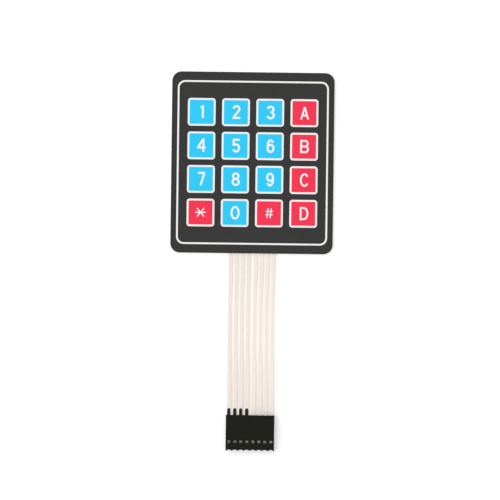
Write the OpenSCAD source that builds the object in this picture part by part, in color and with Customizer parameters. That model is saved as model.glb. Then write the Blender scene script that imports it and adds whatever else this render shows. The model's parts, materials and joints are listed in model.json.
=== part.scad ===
// Flat membrane keypad of four rows and four columns, with a two-strip film tail and an eight-way socket.
// It lies on its back. +X runs along a row of keys, +Y points away from the tail and +Z out of the key face.
// The origin is the centre of the pad's rear face. Lengths are in millimetres.

/* [Keys] */
// Side of a key, over its white outline
key_size = 11.8; // [10:0.1:16]
// Gap between neighbouring keys of a row
key_gap_x = 2.75; // [1:0.05:6]
// Gap between neighbouring keys of a column
key_gap_y = 2.45; // [1:0.05:6]
// Corner radius of a key's white outline
key_r = 1.3; // [0.5:0.1:3]
// Width of a key's white outline
outline_w = 0.8; // [0.5:0.05:2]
// Corner radius of a key's coloured field
field_r = 0.3; // [0.1:0.1:2]

/* [Overlay] */
// Gap from the outer keys to the frame line, left and right
line_gap_x = 3.625; // [2:0.025:8]
// Gap from the outer keys to the frame line, top and bottom
line_gap_y = 6.775; // [3:0.025:12]
// Width of the white frame line
line_w = 0.75; // [0.5:0.05:2]
// Outer corner radius of the frame line
line_r = 3.2; // [2.1:0.1:6]
// Gap from the frame line to the pad's left and right edges
rim_x = 2.4; // [1:0.05:6]
// Gap from the frame line to the pad's top and bottom edges
rim_y = 3.7; // [1:0.05:8]
// Corner radius of the pad
pad_r = 4; // [1:0.1:6]
// Depth of the printed colours in the overlay's front face
print_t = 0.03; // [0.01:0.005:0.06]

/* [Layers] */
// Thickness of the release liner
liner_t = 0.13; // [0.05:0.01:0.3]
// Thickness of the rear adhesive
rear_adhesive_t = 0.1; // [0.05:0.01:0.3]
// Thickness of each circuit film
film_t = 0.125; // [0.075:0.005:0.25]
// Thickness of the spacer
spacer_t = 0.16; // [0.1:0.01:0.4]
// Thickness of the overlay adhesive
overlay_adhesive_t = 0.05; // [0.03:0.01:0.2]
// Thickness of the graphic overlay
overlay_t = 0.2; // [0.125:0.005:0.4]
// Thickness of the silver ink
silver_t = 0.02; // [0.01:0.005:0.03]
// Thickness of the carbon ink over the silver
carbon_t = 0.015; // [0.01:0.005:0.03]

/* [Circuit] */
// Diameter of the round switch contacts
switch_d = 9; // [6:0.1:10]
// Clearance from a switch contact to the edge of its hole in the spacer
switch_clear = 0.7; // [0.3:0.1:1]
// Width of the vent channels in the spacer
vent_w = 1.6; // [1:0.1:3]
// Width of the traces inside the pad
trace_w = 0.8; // [0.4:0.05:1.1]
// Gap between traces that run side by side in the pad
trace_gap = 0.7; // [0.4:0.05:1]
// Distance from the pad's left edge to the centre of the first trace
trace_edge_x = 1.8; // [1.5:0.1:2.5]
// Distance from the pad's lower edge to the centre of the first trace
trace_edge_y = 3; // [2:0.1:5]
// Size of the 45 degree cut at a trace's bends
trace_bend = 1.5; // [0.2:0.1:1.9]

/* [Tail] */
// Length of the tail between the pad and the socket
tail_len = 68.7; // [60:0.1:150]
// Offset of the tail's centre line from the pad's
tail_offset = 0.35; // [-5:0.05:5]
// Distance from an outer trace's centre line to the tail's edge
tail_edge = 1.22; // [1.1:0.02:3]
// Gap between the tail's two strips
strip_gap = 0.1; // [0.05:0.05:0.5]
// Width of the traces on the tail
tail_trace_w = 1.45; // [0.8:0.05:1.5]
// Distance that each strip's traces lie outward of their contacts
trace_spread = 0.2; // [0:0.05:0.2]
// Radius at the root of each strip
root_r = 0.8; // [0.2:0.1:1.5]
// Flat length of tail at the pad
lead_out = 2; // [1.6:0.1:5]
// Length over which the tail drops from the pad
drop_len = 20; // [10:1:25]
// Length over which the tail rises to the socket
rise_len = 28; // [15:1:28]
// Flat length of tail at the socket
lead_in = 4; // [3.5:0.1:5]
// Height of the tail where it lies lowest
tail_low_z = 0.05; // [0.01:0.01:0.2]
// Length of the carbon tips that shows behind the socket
tip_len = 2.9; // [1:0.1:3.4]
// Length of the slits between the tail's fingers that shows behind the socket
slit_len = 3; // [1:0.1:3.4]

/* [Socket housing] */
// Spacing of the contacts
pitch = 2.54; // [2.3:0.01:3.96]
// Width of the ribs between the cavities
rib = 0.4; // [0.3:0.05:0.6]
// Thickness of the outer side walls
side_wall = 0.34; // [0.25:0.01:1]
// Thickness of the wall under the contacts
floor_t = 0.6; // [0.4:0.05:1.5]
// Thickness of the wall over the contacts
roof_t = 0.55; // [0.4:0.05:1.5]
// Thickness of the front wall, which the pin funnels cross
front_wall = 1.4; // [1.2:0.05:1.7]
// Radius of a pin funnel at the front face
funnel_r = 1.95; // [1.8:0.05:2.3]
// Side of the square pin holes
pin_hole = 0.9; // [0.75:0.05:1]
// Distance from the front face to the centre of the latch windows
window_pos = 4; // [3.5:0.1:5]
// Length of a latch window
window_len = 1.1; // [1:0.1:1.6]
// Width of a latch window
window_w = 1.1; // [0.9:0.1:1.4]
// Land between the latch windows and the step in the roof
step_land = 0.65; // [0.3:0.05:2]
// Depth of the step in the roof
step_depth = 0.15; // [0.05:0.05:0.2]
// Radius of the housing's long edges
edge_r = 0.25; // [0.1:0.05:0.3]
// Length of housing behind the contacts
rear_cover = 0.94; // [0.3:0.02:2]

/* [Contacts] */
// Thickness of the contact strip
strip_t = 0.2; // [0.1:0.01:0.25]
// Length of the box that takes the pin
box_len = 6.5; // [5:0.1:9]
// Height of the box
box_h = 1.7; // [1.5:0.05:2.2]
// Clearance from the box to the cavity's sides
box_clear_x = 0.15; // [0.05:0.01:0.2]
// Clearance from the box to the cavity's roof
box_clear_z = 0.05; // [0.02:0.01:0.2]
// Gap between the box and the front wall
box_gap = 0.1; // [0.05:0.05:0.5]
// Height of the latch lance over the box
lance_h = 0.35; // [0.2:0.05:0.4]
// Side of the square pin that the socket takes
pin_w = 0.64; // [0.5:0.01:0.7]
// Gap from the spring leaf's free end to the rear of the box
leaf_gap = 1.3; // [0.5:0.1:2]
// Length of the neck between the box and the crimp
neck_len = 1.5; // [1:0.1:3]
// Length of the crimp
crimp_len = 4.8; // [3.6:0.1:8]
// Length of one crimp tine
tine_len = 0.8; // [0.4:0.05:1]
// Clearance round a tine where it pierces the film
tine_clear = 0.05; // [0.02:0.01:0.1]
// Clearance from a film finger to the cavity's sides
finger_clear = 0.075; // [0.03:0.005:0.1]
// Film left outside each row of tines
tine_land = 0.195; // [0.1:0.005:0.25]
// Gap between the curled tips of a pair of tines
tip_gap = 0.2; // [0.1:0.05:0.3]

/* [Hidden] */
$fn = 48;
// Small overrun that lets a cut break through a face
over = 0.2;

rows = 4;
cols = 4;
ways = rows + cols;
tine_pairs = 3;
// Number of straight steps in the tail's side profile
tail_steps = 60;

// Keys by row and column, counted from the top left
all_keys = [for (r = [0 : rows - 1], c = [0 : cols - 1]) [r, c]];
red_keys = [[0, 3], [1, 3], [2, 3], [3, 0], [3, 2], [3, 3]];
blue_keys = [for (k = all_keys) if (len([for (red = red_keys) if (red == k) red]) == 0) k];

key_pitch_x = key_size + key_gap_x;
key_pitch_y = key_size + key_gap_y;
line_x = (cols - 1) * key_pitch_x + key_size + 2 * (line_gap_x + line_w);
line_y = (rows - 1) * key_pitch_y + key_size + 2 * (line_gap_y + line_w);
pad_x = line_x + 2 * rim_x;
pad_y = line_y + 2 * rim_y;

adhesive_z = liner_t;
lower_film_z = adhesive_z + rear_adhesive_t;
spacer_z = lower_film_z + film_t;
upper_film_z = spacer_z + spacer_t;
overlay_adhesive_z = upper_film_z + film_t;
overlay_z = overlay_adhesive_z + overlay_adhesive_t;
top_z = overlay_z + overlay_t;

trace_step = trace_w + trace_gap;
spacer_hole_d = switch_d + 2 * switch_clear;

cavity_w = pitch - rib;
cavity_h = box_h + box_clear_z;
housing_w = (ways - 1) * pitch + cavity_w + 2 * side_wall;
housing_h = floor_t + cavity_h + roof_t;
box_v = front_wall + box_gap;
neck_v = box_v + box_len;
crimp_v = neck_v + neck_len;
housing_len = crimp_v + crimp_len + rear_cover;
pin_z = floor_t + box_h / 2;
step_v = window_pos + window_len / 2 + step_land;

edge_y = -pad_y / 2;
rear_y = edge_y - tail_len;
front_y = rear_y - housing_len;
finger_w = cavity_w - 2 * finger_clear;
slit_w = pitch - finger_w;
// The films reach into the housing as far as the front of the crimp
film_in = housing_len - crimp_v;
film_end = tail_len + film_in;
// Distances from the pad at which the tail's side profile has a point
tail_route = [for (i = [0 : tail_steps]) film_end * i / tail_steps];

crimp_z = floor_t + strip_t;
crimp_top_z = crimp_z + film_t + silver_t + carbon_t;
// Heights of each film's strip at the pad, at its lowest and at the socket
lower_tail = [lower_film_z, tail_low_z, crimp_z];
upper_tail = [upper_film_z, tail_low_z + silver_t, crimp_z + silver_t + carbon_t];
box_w = cavity_w - 2 * box_clear_x;
leg_x = finger_w / 2 - tine_land;
curl_r = leg_x / 2 - tip_gap / 4;
tine_step = crimp_len / tine_pairs;

function key_x(c) = (c - (cols - 1) / 2) * key_pitch_x;
function key_y(r) = ((rows - 1) / 2 - r) * key_pitch_y;
function way_x(i) = tail_offset + (i - (ways + 1) / 2) * pitch;
function trace_x(i) = way_x(i) + sign(i - (ways + 1) / 2) * trace_spread;
function tine_v(k) = crimp_v + (k + 0.5) * tine_step;

// Smooth change from 0 to 1
function ease(t) = let (u = max(0, min(1, t))) u * u * (3 - 2 * u);

// Height of a strip at a distance from the pad, from its heights at the pad, at its lowest and at the socket
function tail_z(d, at_pad, low, at_socket) =
    let (fall = ease((d - lead_out) / drop_len))
    let (rise = ease((d - tail_len + lead_in + rise_len) / rise_len))
    at_pad + (low - at_pad) * fall + (at_socket - low) * rise;

module rounded_square(x, y, r) {
    square([x - 2 * r, y], center = true);
    square([x, y - 2 * r], center = true);
    for (sx = [-1, 1], sy = [-1, 1])
        translate([sx * (x / 2 - r), sy * (y / 2 - r)]) circle(r);
}

module pad_outline() {
    rounded_square(pad_x, pad_y, pad_r);
}

module layer(z, t) {
    translate([0, 0, z]) linear_extrude(t) pad_outline();
}

module at_keys(keys) {
    for (k = keys) translate([key_x(k[1]), key_y(k[0])]) children();
}

module key_shape() {
    rounded_square(key_size, key_size, key_r);
}

module field_shape() {
    field = key_size - 2 * outline_w;
    rounded_square(field, field, field_r);
}

module line_shape() {
    difference() {
        rounded_square(line_x, line_y, line_r);
        rounded_square(line_x - 2 * line_w, line_y - 2 * line_w, line_r - line_w);
    }
}

module print_layer() {
    translate([0, 0, top_z - print_t]) linear_extrude(print_t) children();
}

module graphic_overlay() {
    color([0.24, 0.24, 0.24]) difference() {
        layer(overlay_z, overlay_t);
        translate([0, 0, top_z - print_t]) linear_extrude(print_t + over) {
            line_shape();
            at_keys(all_keys) key_shape();
        }
    }
}

module frame_line_print() {
    color([0.97, 0.97, 0.96]) print_layer() line_shape();
}

module outline_shape() {
    difference() {
        key_shape();
        field_shape();
    }
}

module key_outline_print() {
    color([0.97, 0.97, 0.96]) print_layer() at_keys(all_keys) outline_shape();
}

module blue_key_print() {
    color([0.2, 0.78, 0.95]) print_layer() at_keys(blue_keys) field_shape();
}

module red_key_print() {
    color([0.94, 0.25, 0.35]) print_layer() at_keys(red_keys) field_shape();
}

module overlay_adhesive() {
    color([0.9, 0.88, 0.82]) layer(overlay_adhesive_z, overlay_adhesive_t);
}

// Straight trace from p to q with round ends
module trace_run(p, q) {
    d = q - p;
    if (norm(d) > 0)
        translate(p) rotate(atan2(d[1], d[0])) translate([0, -trace_w / 2]) square([norm(d), trace_w]);
    translate(p) circle(d = trace_w);
    translate(q) circle(d = trace_w);
}

module trace_route(points) {
    for (i = [1 : len(points) - 1]) trace_run(points[i - 1], points[i]);
}

// End of a route: along a level in the pad's foot, then down to the tail at a way
function route_foot(from_x, level, way) =
    let (x = trace_x(way))
    let (side = sign(x - from_x))
    let (bend = min(trace_bend, abs(x - from_x) / 3))
    let (y = edge_y + trace_edge_y + level * trace_step)
    [[from_x, y + bend], [from_x + side * bend, y], [x - side * bend, y], [x, y - bend],
     [x, edge_y]];

// One row: its contacts, the trace through them and the route down the pad's left side
module row_shape(r) {
    y = key_y(r);
    lane = -pad_x / 2 + trace_edge_x + r * trace_step;
    for (c = [0 : cols - 1]) translate([key_x(c), y]) circle(d = switch_d);
    trace_route(concat(
        [[key_x(cols - 1), y], [lane + trace_bend, y], [lane, y - trace_bend]],
        route_foot(lane, r, r + 1)
    ));
}

// One column: its contacts, the trace through them and the route to the tail
module column_shape(c) {
    for (r = [0 : rows - 1]) translate([key_x(c), key_y(r)]) circle(d = switch_d);
    trace_route(concat([[key_x(c), key_y(0)]], route_foot(key_x(c), c, rows + c + 1)));
}

// Strip that follows the tail from x0 to x1, given the height of its foot at the pad, at its lowest and
// at the socket
module tail_strip(x0, x1, t, heights) {
    foot = [for (d = tail_route) [edge_y - d, tail_z(d, heights[0], heights[1], heights[2])]];
    head = [for (i = [tail_steps : -1 : 0]) foot[i] + [0, t]];
    translate([x0, 0, 0]) rotate([90, 0, 90]) linear_extrude(x1 - x0) polygon(concat(foot, head));
}

// Holes that the tines of one contact pierce, through film and ink
module tine_holes(i) {
    hole_x = strip_t + 2 * tine_clear;
    hole_y = tine_len + 2 * tine_clear;
    for (side = [-1, 1], k = [0 : tine_pairs - 1])
        translate([way_x(i) + side * (leg_x - strip_t / 2), front_y + tine_v(k), crimp_z])
            cube([hole_x, hole_y, housing_h], center = true);
}

// Slits that part the tail's end into fingers, and the trim of its outer edges inside the housing
module finger_cuts() {
    cut_y = edge_y - film_end - over;
    for (i = [1 : ways - 1])
        translate([way_x(i) + finger_w / 2, cut_y, 0]) cube([slit_w, film_in + slit_len + over, housing_h]);
    for (x = [way_x(1) - finger_w / 2 - tail_edge, way_x(ways) + finger_w / 2])
        translate([x, cut_y, 0]) cube([tail_edge, film_in + 2 * over, housing_h]);
}

module root_fillet() {
    difference() {
        translate([0, -root_r]) square(root_r);
        translate([root_r, -root_r]) circle(root_r);
    }
}

// Flat root of a strip from x0 to x1, with round fillets where it leaves the pad
module strip_root(x0, x1) {
    translate([x0, edge_y - lead_out / 2]) square([x1 - x0, lead_out]);
    translate([x0, edge_y]) mirror([1, 0]) root_fillet();
    translate([x1, edge_y]) root_fillet();
}

module circuit_film(z, x0, x1, heights, first, last) {
    difference() {
        union() {
            translate([0, 0, z]) linear_extrude(film_t) {
                pad_outline();
                strip_root(x0, x1);
            }
            tail_strip(x0, x1, film_t, heights);
        }
        finger_cuts();
        for (i = [first : last]) tine_holes(i);
    }
}

module upper_circuit_film() {
    x0 = tail_offset + strip_gap / 2;
    color([0.95, 0.93, 0.9])
        circuit_film(upper_film_z, x0, way_x(ways) + tail_edge, upper_tail, rows + 1, ways);
}

module lower_circuit_film() {
    x1 = tail_offset - strip_gap / 2;
    color([0.95, 0.93, 0.9])
        circuit_film(lower_film_z, way_x(1) - tail_edge, x1, lower_tail, 1, rows);
}

module silver_strip(i, heights, rise) {
    shifted = [for (h = heights) h + rise];
    difference() {
        tail_strip(trace_x(i) - tail_trace_w / 2, trace_x(i) + tail_trace_w / 2, silver_t, shifted);
        tine_holes(i);
    }
}

module column_traces() {
    color([0.84, 0.82, 0.79]) for (c = [0 : cols - 1]) {
        translate([0, 0, upper_film_z - silver_t]) linear_extrude(silver_t) column_shape(c);
        silver_strip(rows + c + 1, upper_tail, -silver_t);
    }
}

module row_traces() {
    color([0.84, 0.82, 0.79]) for (r = [0 : rows - 1]) {
        translate([0, 0, spacer_z]) linear_extrude(silver_t) row_shape(r);
        silver_strip(r + 1, lower_tail, film_t);
    }
}

module spacer() {
    color([0.8, 0.8, 0.78]) difference() {
        layer(spacer_z, spacer_t);
        translate([0, 0, spacer_z - over]) linear_extrude(spacer_t + 2 * over) {
            at_keys(all_keys) circle(d = spacer_hole_d);
            for (r = [0 : rows - 1])
                translate([0, key_y(r)]) square([key_x(cols - 1) - key_x(0), vent_w], center = true);
            square([vent_w, key_y(0) - key_y(rows - 1)], center = true);
        }
        translate([0, 0, spacer_z - over]) linear_extrude(silver_t + over)
            for (r = [0 : rows - 1]) row_shape(r);
        translate([0, 0, upper_film_z - silver_t]) linear_extrude(silver_t + over)
            for (c = [0 : cols - 1]) column_shape(c);
    }
}

// Carbon tip of one way, flat on the silver from the film's end to its round end behind the socket
module carbon_tip(i, z) {
    straight = film_in + tip_len - tail_trace_w / 2;
    difference() {
        translate([trace_x(i), edge_y - film_end, z]) linear_extrude(carbon_t) {
            translate([-tail_trace_w / 2, 0]) square([tail_trace_w, straight]);
            translate([0, straight]) circle(d = tail_trace_w);
        }
        tine_holes(i);
    }
}

module carbon_tips() {
    color([0.1, 0.09, 0.08]) {
        for (i = [1 : rows]) carbon_tip(i, crimp_top_z - carbon_t);
        for (i = [rows + 1 : ways]) carbon_tip(i, crimp_z);
    }
}

module rear_adhesive() {
    color([0.9, 0.88, 0.82]) layer(adhesive_z, rear_adhesive_t);
}

module release_liner() {
    color([0.93, 0.92, 0.88]) layer(0, liner_t);
}

// Places its children at a way, with +Y running from the housing's front face to its rear
module at_way(i) {
    translate([way_x(i), front_y, 0]) children();
}

module cavity() {
    translate([-cavity_w / 2, front_wall, floor_t])
        cube([cavity_w, housing_len - front_wall + over, cavity_h]);
    translate([-pin_hole / 2, -over, pin_z - pin_hole / 2])
        cube([pin_hole, front_wall + 2 * over, pin_hole]);
    translate([-window_w / 2, window_pos - window_len / 2, floor_t + cavity_h - over])
        cube([window_w, window_len, roof_t + 2 * over]);
    translate([0, -over, pin_z]) rotate([-90, 0, 0])
        cylinder(h = front_wall + over, r1 = funnel_r + over, r2 = funnel_r - front_wall);
}

module socket_housing() {
    color([0.13, 0.13, 0.12]) difference() {
        translate([tail_offset, rear_y, housing_h / 2]) rotate([90, 0, 0]) linear_extrude(housing_len)
            rounded_square(housing_w, housing_h, edge_r);
        translate([tail_offset - housing_w / 2 - over, front_y, 0]) rotate([90, 0, 90])
            linear_extrude(housing_w + 2 * over)
            polygon([[-over, housing_h - step_depth], [step_v - step_depth, housing_h - step_depth],
                     [step_v + over, housing_h + over], [-over, housing_h + over]]);
        for (i = [1 : ways]) at_way(i) cavity();
    }
}

// Strip of the contact that lies across the cavity, from its side profile
module bent_strip(w, points) {
    translate([-w / 2, 0, 0]) rotate([90, 0, 90]) linear_extrude(w) polygon(points);
}

// Box that takes the pin, with its latch lance and the spring leaf that presses on the pin
module contact_box() {
    lance_w = window_w - 2 * box_clear_x;
    lance_start = window_pos - window_len / 2;
    lance_end = window_pos + window_len / 2 - box_gap;
    box_top = floor_t + box_h;
    inner_top = box_top - strip_t;
    leaf_z = pin_z + pin_w / 2;
    leaf_end = neck_v - leaf_gap;
    leaf_low = (box_v + leaf_end) / 2;
    difference() {
        translate([-box_w / 2, box_v, floor_t]) cube([box_w, box_len, box_h]);
        translate([-box_w / 2 + strip_t, box_v - over, floor_t + strip_t])
            cube([box_w - 2 * strip_t, box_len + 2 * over, box_h - 2 * strip_t]);
        translate([-lance_w / 2, lance_start, inner_top - over])
            cube([lance_w, lance_end - lance_start, strip_t + 2 * over]);
    }
    bent_strip(lance_w, [[lance_start - strip_t, inner_top], [lance_start, inner_top],
                         [lance_end, inner_top + lance_h], [lance_end, box_top + lance_h],
                         [lance_start, box_top], [lance_start - strip_t, box_top]]);
    bent_strip(lance_w, [[box_v, inner_top], [leaf_low, leaf_z], [leaf_end, leaf_z + strip_t / 2],
                         [leaf_end, leaf_z + strip_t], [leaf_low, leaf_z + strip_t / 2],
                         [box_v + strip_t, inner_top + strip_t / 2], [box_v, inner_top + strip_t / 2]]);
}

// Neck whose side walls fall from the box to the crimp
module contact_neck() {
    wall_end = crimp_v - strip_t;
    wall_top = floor_t + box_h - strip_t;
    for (side = [-1, 1])
        translate([side * (leg_x - strip_t / 2), 0, 0])
            bent_strip(strip_t, [[neck_v - strip_t, floor_t], [wall_end, floor_t],
                                 [wall_end, crimp_z + strip_t], [neck_v, wall_top],
                                 [neck_v - strip_t, wall_top]]);
}

// One tine: a leg through the film and a curl whose tip presses on the trace
module tine() {
    translate([leg_x - strip_t, floor_t]) square([strip_t, crimp_top_z - floor_t]);
    translate([leg_x - curl_r, crimp_top_z]) intersection() {
        difference() {
            circle(curl_r);
            circle(curl_r - strip_t);
        }
        translate([-curl_r, 0]) square([2 * curl_r, curl_r]);
    }
}

module contact_crimp() {
    translate([-leg_x, neck_v - strip_t, floor_t]) cube([2 * leg_x, neck_len + crimp_len + strip_t, strip_t]);
    for (k = [0 : tine_pairs - 1], side = [0, 1])
        translate([0, tine_v(k) + tine_len / 2, 0]) mirror([side, 0, 0])
            rotate([90, 0, 0]) linear_extrude(tine_len) tine();
}

module crimp_contact(i) {
    color([0.76, 0.75, 0.72]) at_way(i) {
        contact_box();
        contact_neck();
        contact_crimp();
    }
}

graphic_overlay();
frame_line_print();
key_outline_print();
blue_key_print();
red_key_print();
overlay_adhesive();
upper_circuit_film();
column_traces();
spacer();
lower_circuit_film();
row_traces();
carbon_tips();
rear_adhesive();
release_liner();
socket_housing();
for (i = [1 : ways])
    crimp_contact(i);
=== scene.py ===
"""Looks of a flat membrane keypad: legends, finishes of film, ink, plastic and metal, studio and camera.

Lengths are in millimetres and become metres where they meet Blender.
"""

import json
import math

import bmesh
import bpy
from mathutils import Matrix, Vector, geometry


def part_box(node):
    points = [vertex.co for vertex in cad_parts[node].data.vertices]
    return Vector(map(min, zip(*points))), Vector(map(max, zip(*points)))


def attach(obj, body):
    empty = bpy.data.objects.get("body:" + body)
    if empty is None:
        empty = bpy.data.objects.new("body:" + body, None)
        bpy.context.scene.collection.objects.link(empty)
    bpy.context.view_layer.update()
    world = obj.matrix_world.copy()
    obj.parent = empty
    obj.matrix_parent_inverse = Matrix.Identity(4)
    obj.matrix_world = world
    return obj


MM = 0.001

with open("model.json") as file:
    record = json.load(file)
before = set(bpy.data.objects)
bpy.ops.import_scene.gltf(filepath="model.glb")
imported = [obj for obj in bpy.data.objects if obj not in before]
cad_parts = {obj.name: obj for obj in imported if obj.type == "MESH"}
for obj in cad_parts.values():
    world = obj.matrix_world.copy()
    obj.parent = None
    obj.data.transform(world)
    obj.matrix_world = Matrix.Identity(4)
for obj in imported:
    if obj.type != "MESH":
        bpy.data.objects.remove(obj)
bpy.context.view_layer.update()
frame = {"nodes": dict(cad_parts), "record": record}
nodes = frame["nodes"]


# Legends: strokes of one width, drawn about a point on each key's middle line

KEY_PITCH = (14.55, 14.25)
KEY_ROWS = ("123A", "456B", "789C", "*0#D")
MIDDLE_KEY = (len(KEY_ROWS) - 1) / 2
NAMES = {"*": "star", "#": "hash"}
DIGIT_W = 0.84
LETTER_W = 0.76
STAR_W = 0.48
HASH_W = 0.44
ARC_STEPS = 28

# How far the legends lie above the middle of the keys in the picture
LEGEND_RISE = 0.08

# How far a legend's ink reaches into the film and stands out of it
INK_SINK = 0.004
INK_RISE = 0.012

# Distances at which two points of a stroke count as one, and at which strokes are joined
SAME_POINT = 1e-6
JOIN_WITHIN = 1e-5


def arc(cx, cy, rx, ry, start, end):
    """Points of an ellipse's arc, by angles in degrees."""
    turn = [math.radians(start + (end - start) * i / ARC_STEPS) for i in range(ARC_STEPS + 1)]
    return [(cx + rx * math.cos(a), cy + ry * math.sin(a)) for a in turn]


def turned(strokes):
    """The strokes turned by half a turn about their point."""
    return [[(-x, -y) for x, y in points] for points in strokes]


SIX = [arc(0, -0.98, 1.24, 1.52, 0, 360), arc(0, -0.02, 1.24, 2.48, 36, 192)]

# Each sign's stroke width, its place across the key and its strokes
GLYPHS = {
    "0": (DIGIT_W, 0.15, [arc(0, 0, 1.51, 2.47, 0, 360)]),
    "1": (DIGIT_W, 0.24, [[(0.26, 2.7), (0.26, -2.62)], [(-0.66, 1.6), (0.2, 2.26)]]),
    "2": (DIGIT_W, 0.22, [
        arc(-0.02, 1.3, 1.24, 1.26, 172, -28) + [(-1.3, -2.42)],
        [(-1.64, -2.46), (1.64, -2.46)],
    ]),
    "3": (DIGIT_W, 0.24, [
        arc(-0.1, 1.3, 1.24, 1.18, 165, -92),
        arc(-0.06, -1.18, 1.36, 1.28, 92, -165),
    ]),
    "4": (DIGIT_W, 0.14, [
        [(0.74, 2.86), (0.74, -2.72)],
        [(0.52, 2.5), (-1.5, -0.82)],
        [(-1.9, -0.96), (1.7, -0.96)],
    ]),
    "5": (DIGIT_W, 0.24, [
        [(1.46, 2.52), (-0.98, 2.52), (-1.16, 0.06)],
        arc(0, -0.96, 1.26, 1.5, 140, -156),
    ]),
    "6": (DIGIT_W, 0.32, SIX),
    "7": (DIGIT_W, 0.28, [[(-1.48, 2.52), (1.54, 2.52)], [(1.16, 2.48), (-0.42, -2.74)]]),
    "8": (DIGIT_W, 0.25, [arc(0, 1.32, 1.16, 1.14, 0, 360), arc(0, -1.16, 1.32, 1.26, 0, 360)]),
    "9": (DIGIT_W, 0.28, turned(SIX)),
    "A": (LETTER_W, 0.1, [
        [(-1.5, -2.76), (0, 2.46)],
        [(1.5, -2.76), (0, 2.46)],
        [(-1, -1.08), (1, -1.08)],
    ]),
    "B": (LETTER_W, 0.2, [
        [(-1.46, 2.8), (-1.46, -2.8)],
        [(-1.5, 2.4)] + arc(0.3, 1.22, 1.06, 1.18, 90, -90) + [(-1.5, 0.04)],
        [(-1.5, 0.04)] + arc(0.36, -1.18, 1.14, 1.22, 90, -90) + [(-1.5, -2.4)],
    ]),
    "C": (LETTER_W, 0.2, [arc(0.15, 0, 1.55, 2.46, 35, 325)]),
    "D": (LETTER_W, 0.34, [
        [(-1.46, 2.8), (-1.46, -2.8)],
        [(-1.5, 2.4)] + arc(-0.12, 0, 1.58, 2.4, 90, -90) + [(-1.5, -2.4)],
    ]),
    "*": (STAR_W, 0, [
        [(-2.16, 0), (2.16, 0)],
        [(-1.5, -1.78), (1.5, 1.78)],
        [(-1.5, 1.78), (1.5, -1.78)],
    ]),
    "#": (HASH_W, 0.1, [
        [(-0.92, -2.1), (-0.44, 2.1)],
        [(0.4, -2.1), (0.9, 2.1)],
        [(-1.5, 0.74), (1.6, 0.74)],
        [(-1.6, -0.66), (1.5, -0.66)],
    ]),
}


def stroke_quads(points, width):
    """Four-cornered pieces of a stroke, one for each straight run, that meet at mitred corners."""
    pts = [Vector(p) for p in points]
    closed = (pts[0] - pts[-1]).length < SAME_POINT
    if closed:
        pts.pop()
    count = len(pts)
    sides = []
    for i, p in enumerate(pts):
        before = pts[i] - pts[i - 1] if closed or i else pts[1] - pts[0]
        after = pts[(i + 1) % count] - pts[i] if closed or i < count - 1 else before
        a = Vector((-before.y, before.x)).normalized()
        b = Vector((-after.y, after.x)).normalized()
        mitre = (a + b).normalized()
        reach = mitre * (width / 2 / mitre.dot(a))
        sides.append((p + reach, p - reach))
    runs = count if closed else count - 1
    return [
        [sides[i][1], sides[(i + 1) % count][1], sides[(i + 1) % count][0], sides[i][0]]
        for i in range(runs)
    ]


def legend(sign, centre, top):
    """One legend as a thin printed layer, its strokes joined into one outline."""
    width, across, strokes = GLYPHS[sign]
    quads = [q for points in strokes for q in stroke_quads(points, width)]
    flat = [v for q in quads for v in q]
    faces_in = [[4 * i, 4 * i + 1, 4 * i + 2, 4 * i + 3] for i in range(len(quads))]
    coords, _, faces, _, _, sources = geometry.delaunay_2d_cdt(flat, [], faces_in, 0, JOIN_WITHIN)
    kept = [f for f, source in zip(faces, sources) if source]
    used = sorted({i for f in kept for i in f})
    x = centre[0] + across
    y = centre[1] + LEGEND_RISE
    bm = bmesh.new()
    layers = []
    for z in (top + INK_RISE, top - INK_SINK):
        layers.append({
            i: bm.verts.new(Vector((x + coords[i].x, y + coords[i].y, z)) * MM)
            for i in used
        })
    upper, lower = layers
    edge_use = {}
    for f in kept:
        bm.faces.new([upper[i] for i in f])
        bm.faces.new([lower[i] for i in reversed(f)])
        for a, b in zip(f, list(f[1:]) + [f[0]]):
            edge_use.setdefault(frozenset((a, b)), []).append((a, b))
    for runs in edge_use.values():
        if len(runs) == 1:
            a, b = runs[0]
            bm.faces.new([upper[b], upper[a], lower[a], lower[b]])
    bmesh.ops.recalc_face_normals(bm, faces=bm.faces)
    mesh = bpy.data.meshes.new("legend_" + NAMES.get(sign, sign))
    bm.to_mesh(mesh)
    bm.free()
    piece = bpy.data.objects.new(mesh.name, mesh)
    bpy.context.scene.collection.objects.link(piece)
    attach(piece, "root")
    return piece


# Materials: every texture is laid out in the object's own coordinates

# Spans that hold most of a noise pattern: for any texture, for the ink's filler and for paper fibres
NOISE_SPAN = (0.3, 0.7)
FILLER_SPAN = (0.25, 0.75)
FIBRE_SPAN = (0.3, 0.65)

# How much rougher and smoother than its mean a printed ink is in places
INK_UNEVEN = 0.06


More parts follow.
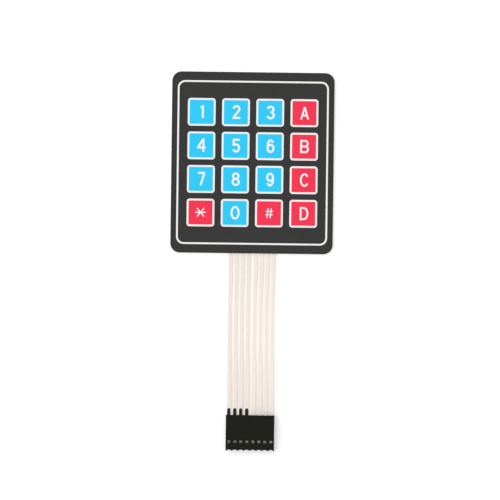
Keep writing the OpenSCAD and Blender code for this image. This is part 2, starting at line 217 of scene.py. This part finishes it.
class Finish:
    """A material around one Principled shader, with helpers for its texture nodes."""

    def __init__(self, name, **constants):
        self.material = bpy.data.materials.new(name)
        self.material.use_nodes = True
        self.tree = self.material.node_tree
        self.tree.nodes.clear()
        output = self.node("OutputMaterial")
        self.shader = self.node("BsdfPrincipled")
        self.link(self.shader.outputs["BSDF"], output.inputs["Surface"])
        for socket, value in constants.items():
            self.shader.inputs[socket.replace("_", " ")].default_value = value
        self.place = self.node("TexCoord").outputs["Object"]

    def node(self, kind):
        return self.tree.nodes.new("ShaderNode" + kind)

    def link(self, source, target):
        self.tree.links.new(source, target)

    def noise(self, size, detail=3.0, stretch=(1, 1, 1)):
        """Noise whose grains are about size millimetres, drawn out along the axes by stretch."""
        mapping = self.node("Mapping")
        mapping.inputs["Scale"].default_value = [1 / (size * MM * s) for s in stretch]
        self.link(self.place, mapping.inputs["Vector"])
        noise = self.node("TexNoise")
        noise.inputs["Scale"].default_value = 1.0
        noise.inputs["Detail"].default_value = detail
        self.link(mapping.outputs["Vector"], noise.inputs["Vector"])
        return noise.outputs["Fac"]

    def ramp(self, factor, low, high, span=NOISE_SPAN):
        """Colours or greys from low to high, as the factor passes through a span."""
        ramp = self.node("ValToRGB")
        for element, position, end in zip(ramp.color_ramp.elements, span, (low, high)):
            element.position = position
            element.color = (*end, 1) if isinstance(end, tuple) else (end, end, end, 1)
        self.link(factor, ramp.inputs["Fac"])
        return ramp.outputs["Color"]

    def multiply(self, a, b):
        """The product of two colours."""
        mix = self.node("Mix")
        mix.data_type = "RGBA"
        mix.blend_type = "MULTIPLY"
        mix.inputs["Factor"].default_value = 1.0
        self.link(a, mix.inputs["A"])
        self.link(b, mix.inputs["B"])
        return mix.outputs["Result"]

    def mottle(self, colour, size, spread):
        """The colour, made up to spread darker and lighter in grains of a size."""
        dark = tuple(c * (1 - spread) for c in colour)
        light = tuple(min(1.0, c * (1 + spread)) for c in colour)
        return self.ramp(self.noise(size), dark, light)

    def bump(self, height, depth, under=None):
        """A relief of a depth in millimetres, laid over another one where that is given."""
        bump = self.node("Bump")
        bump.inputs["Distance"].default_value = depth * MM
        self.link(height, bump.inputs["Height"])
        if under is not None:
            self.link(under, bump.inputs["Normal"])
        return bump.outputs["Normal"]

    def colour(self, source):
        self.link(source, self.shader.inputs["Base Color"])

    def roughness(self, source):
        self.link(source, self.shader.inputs["Roughness"])

    def normal(self, source):
        self.link(source, self.shader.inputs["Normal"])


def printed_film(name, colour, spread):
    """Ink behind a velvet film: every colour has the fine grain and slow waves of the one sheet."""
    f = Finish(name, Specular_IOR_Level=0.22)
    cloud = f.mottle(colour, size=5.0, spread=spread)
    grain = f.ramp(f.noise(size=0.12, detail=2.0), low=0.95, high=1.0)
    f.colour(f.multiply(cloud, grain))
    f.roughness(f.ramp(f.noise(size=2.4), low=0.5, high=0.58))
    waves = f.bump(f.noise(size=16.0, detail=1.0), depth=0.08)
    f.normal(f.bump(f.noise(size=0.14, detail=2.0), depth=0.006, under=waves))
    return f.material


def clear_film(name, colour, opacity):
    """Milky film: see-through, with handling waves and hairline streaks along the tail."""
    f = Finish(name, Specular_IOR_Level=0.4, Alpha=opacity)
    f.colour(f.mottle(colour, size=9.0, spread=0.02))
    f.roughness(f.ramp(f.noise(size=0.5, detail=4.0, stretch=(1, 14, 1)), low=0.26, high=0.36))
    waves = f.bump(f.noise(size=7.0, detail=1.0, stretch=(1.6, 1, 1)), depth=0.05)
    f.normal(f.bump(f.noise(size=0.2, stretch=(1, 18, 1)), depth=0.002, under=waves))
    return f.material


def printed_ink(name, colour, spread, rough):
    """Screen-printed conductive ink: grain of the filler, mesh marks and a slightly uneven surface."""
    f = Finish(name, Specular_IOR_Level=0.3)
    cloud = f.mottle(colour, size=1.6, spread=spread)
    grain = f.ramp(f.noise(size=0.05, detail=4.0), low=0.9, high=1.0, span=FILLER_SPAN)
    f.colour(f.multiply(cloud, grain))
    f.roughness(f.ramp(f.noise(size=0.3), low=rough - INK_UNEVEN, high=rough + INK_UNEVEN))
    f.normal(f.bump(f.noise(size=0.09), depth=0.006))
    return f.material


def moulded_plastic(name, colour):
    """Satin moulding: spark-eroded grain, soft flow clouds and a few rubbed places."""
    f = Finish(name, Specular_IOR_Level=0.15)
    cloud = f.mottle(colour, size=2.2, spread=0.16)
    grain = f.ramp(f.noise(size=0.07), low=0.86, high=1.0)
    f.colour(f.multiply(cloud, grain))
    f.roughness(f.ramp(f.noise(size=0.9, detail=4.0), low=0.4, high=0.54))
    f.normal(f.bump(f.noise(size=0.08, detail=2.0), depth=0.006))
    return f.material


def plated_metal(name, colour):
    """Tin-plated strip: rolling lines along the contact and a cloudy plating, duller in places."""
    f = Finish(name, Metallic=1.0)
    cloud = f.mottle(colour, size=2.4, spread=0.4)
    grain = f.ramp(f.noise(size=0.5), low=0.88, high=1.0)
    f.colour(f.multiply(cloud, grain))
    f.roughness(f.ramp(f.noise(size=0.12, detail=4.0, stretch=(1, 12, 1)), low=0.32, high=0.48))
    f.normal(f.bump(f.noise(size=0.06, detail=2.0, stretch=(1, 20, 1)), depth=0.003))
    return f.material


def coated_paper(name, colour):
    """Release paper: short fibres in a thin glaze."""
    f = Finish(name, Specular_IOR_Level=0.35)
    cloud = f.mottle(colour, size=3.0, spread=0.03)
    grain = f.noise(size=0.22, detail=5.0, stretch=(1, 3.4, 1))
    fibres = f.ramp(grain, low=0.93, high=1.0, span=FIBRE_SPAN)
    f.colour(f.multiply(cloud, fibres))
    f.roughness(f.ramp(f.noise(size=1.2), low=0.36, high=0.48))
    f.normal(f.bump(f.noise(size=0.3, detail=4.0, stretch=(1, 2.6, 1)), depth=0.01))
    return f.material


def spacer_sheet(name, colour, spread):
    """White spacer film and the adhesive layers, seen only at the pad's edges."""
    f = Finish(name, Specular_IOR_Level=0.4)
    f.colour(f.mottle(colour, size=2.0, spread=spread))
    f.roughness(f.ramp(f.noise(size=0.6), low=0.4, high=0.55))
    f.normal(f.bump(f.noise(size=0.1), depth=0.006))
    return f.material


# One finish for each material slot of the record
finishes = {
    "overlay_film": printed_film("overlay_film", (0.03, 0.03, 0.029), spread=0.05),
    "white_print": printed_film("white_print", (0.93, 0.93, 0.925), spread=0.01),
    "blue_print": printed_film("blue_print", (0.023, 0.622, 0.98), spread=0.02),
    "red_print": printed_film("red_print", (0.965, 0.03, 0.083), spread=0.02),
    "adhesive": spacer_sheet("adhesive", (0.82, 0.77, 0.68), spread=0.04),
    "circuit_film": clear_film("circuit_film", (0.95, 0.4, 0.02), opacity=0.06),
    "silver_ink": printed_ink("silver_ink", (0.93, 0.865, 0.8), spread=0.02, rough=0.46),
    "spacer_film": spacer_sheet("spacer_film", (0.8, 0.8, 0.78), spread=0.03),
    "carbon_ink": printed_ink("carbon_ink", (0.016, 0.007, 0.003), spread=0.2, rough=0.52),
    "liner_paper": coated_paper("liner_paper", (0.84, 0.81, 0.73)),
    "housing_plastic": moulded_plastic("housing_plastic", (0.0056, 0.0062, 0.002)),
    "contact_metal": plated_metal("contact_metal", (0.4, 0.38, 0.35)),
}

slot_of = {s["node"]: s["material_slot"] for s in frame["record"]["subparts"]}
for name, node in nodes.items():
    node.data.materials.clear()
    node.data.materials.append(finishes[slot_of[name]])

# Ink is bonded to its film, so the face where they meet lies a hair inside the film
INK_BOND = 0.01
for name, side in (("column_traces", 1), ("row_traces", -1)):
    bonded = nodes[name].modifiers.new("ink_bond", "DISPLACE")
    bonded.direction = "Z"
    bonded.mid_level = 0.0
    bonded.strength = side * INK_BOND * MM

# The column traces are seen through the film they are printed under, from their smooth side. This copy
# of the silver ink is smoother and painted lighter than the other: the lighter colour is painted light
# that makes up for the light the film takes away on its way in and out
film_side_ink_painted_lighter = printed_ink("silver_ink_film_side_painted_lighter", (0.967, 0.948, 0.905), spread=0.02, rough=0.4)
nodes["column_traces"].data.materials[0] = film_side_ink_painted_lighter

top_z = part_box("graphic_overlay")[1].z / MM
for row, signs in enumerate(KEY_ROWS):
    for column, sign in enumerate(signs):
        centre = ((column - MIDDLE_KEY) * KEY_PITCH[0], (MIDDLE_KEY - row) * KEY_PITCH[1])
        legend(sign, centre, top_z).data.materials.append(finishes["white_print"])


# Studio: white table, a room that is white at eye level and dim overhead, a soft key light from the left

WHITE = (1, 1, 1, 1)
ROOM_LEVEL = 1.0
ROOM_OVERHEAD = 0.3
KEY_LIGHT = 1.75
KEY_FROM = (-0.56, 0.18, 0.79)
FLOOR_TONE = 0.75
FLOOR_LIFT = 0.36
FLOOR_HALF = 6000.0
FLOOR_Z = -0.01

# Width of the key light in the sky, in degrees
KEY_SOFTNESS = 80


def white_share(tree):
    """1 for what the camera sees, also in a reflection or through a clear piece, and 0 for lighting."""
    path = tree.nodes.new("ShaderNodeLightPath")
    total = path.outputs["Is Camera Ray"]
    for ray in ("Is Glossy Ray", "Is Transmission Ray"):
        either = tree.nodes.new("ShaderNodeMath")
        either.operation = "MAXIMUM"
        tree.links.new(total, either.inputs[0])
        tree.links.new(path.outputs[ray], either.inputs[1])
        total = either.outputs["Value"]
    return total


world = bpy.data.worlds.new("studio")
bpy.context.scene.world = world
world.use_nodes = True
tree = world.node_tree
tree.nodes.clear()
direction = tree.nodes.new("ShaderNodeTexCoord")
axes = tree.nodes.new("ShaderNodeSeparateXYZ")
fade = tree.nodes.new("ShaderNodeMapRange")
fade.inputs["To Min"].default_value = ROOM_LEVEL
fade.inputs["To Max"].default_value = ROOM_OVERHEAD
room = tree.nodes.new("ShaderNodeBackground")
room.inputs["Color"].default_value = WHITE
output = tree.nodes.new("ShaderNodeOutputWorld")
tree.links.new(direction.outputs["Generated"], axes.inputs["Vector"])
tree.links.new(axes.outputs["Z"], fade.inputs["Value"])
tree.links.new(fade.outputs["Result"], room.inputs["Strength"])
tree.links.new(room.outputs["Background"], output.inputs["Surface"])

sun = bpy.data.lights.new("key_light", "SUN")
sun.energy = KEY_LIGHT
sun.angle = math.radians(KEY_SOFTNESS)
sun_object = bpy.data.objects.new("key_light", sun)
sun_object.rotation_mode = "QUATERNION"
sun_object.rotation_quaternion = Vector(KEY_FROM).to_track_quat("Z", "Y")
bpy.context.scene.collection.objects.link(sun_object)

floor_material = bpy.data.materials.new("floor")
floor_material.use_nodes = True
tree = floor_material.node_tree
tree.nodes.clear()
table = tree.nodes.new("ShaderNodeBsdfDiffuse")
table.inputs["Color"].default_value = (FLOOR_TONE, FLOOR_TONE, FLOOR_TONE, 1)
lift = tree.nodes.new("ShaderNodeEmission")
lift.inputs["Color"].default_value = WHITE
lift.inputs["Strength"].default_value = FLOOR_LIFT
both = tree.nodes.new("ShaderNodeAddShader")
blend = tree.nodes.new("ShaderNodeMixShader")
output = tree.nodes.new("ShaderNodeOutputMaterial")
tree.links.new(table.outputs["BSDF"], both.inputs[0])
tree.links.new(lift.outputs["Emission"], both.inputs[1])
tree.links.new(white_share(tree), blend.inputs["Fac"])
tree.links.new(table.outputs["BSDF"], blend.inputs[1])
tree.links.new(both.outputs["Shader"], blend.inputs[2])
tree.links.new(blend.outputs["Shader"], output.inputs["Surface"])

floor_mesh = bpy.data.meshes.new("floor")
corners = [(-1, -1), (1, -1), (1, 1), (-1, 1)]
points = [Vector((x * FLOOR_HALF, y * FLOOR_HALF, FLOOR_Z)) * MM for x, y in corners]
floor_mesh.from_pydata(points, [], [(0, 1, 2, 3)])
floor_mesh.materials.append(floor_material)
floor = bpy.data.objects.new("floor", floor_mesh)
bpy.context.scene.collection.objects.link(floor)


# Camera: straight above the part, turned by the photograph's small tilt

VIEW_CENTRE = (-0.58, -37.04)
VIEW_SPAN = 212.4
VIEW_UP = (-0.0126, 0.9999)
CAMERA_HEIGHT = 1200.0
CLIP_NEAR = 50.0
CLIP_FAR = 50000.0
SENSOR = 36.0

camera = bpy.data.cameras.new("camera")
camera.sensor_width = SENSOR
camera.lens = SENSOR * (CAMERA_HEIGHT - top_z) / VIEW_SPAN
camera.clip_start = CLIP_NEAR * MM
camera.clip_end = CLIP_FAR * MM
camera_object = bpy.data.objects.new("camera", camera)
up = Vector((*VIEW_UP, 0)).normalized()
back = Vector((0, 0, 1))
right = up.cross(back)
turn = Matrix((right, up, back)).transposed().to_4x4()
camera_object.matrix_world = Matrix.Translation(Vector((*VIEW_CENTRE, CAMERA_HEIGHT)) * MM) @ turn
bpy.context.scene.collection.objects.link(camera_object)
bpy.context.scene.camera = camera_object

bpy.context.scene.view_settings.view_transform = "Standard"
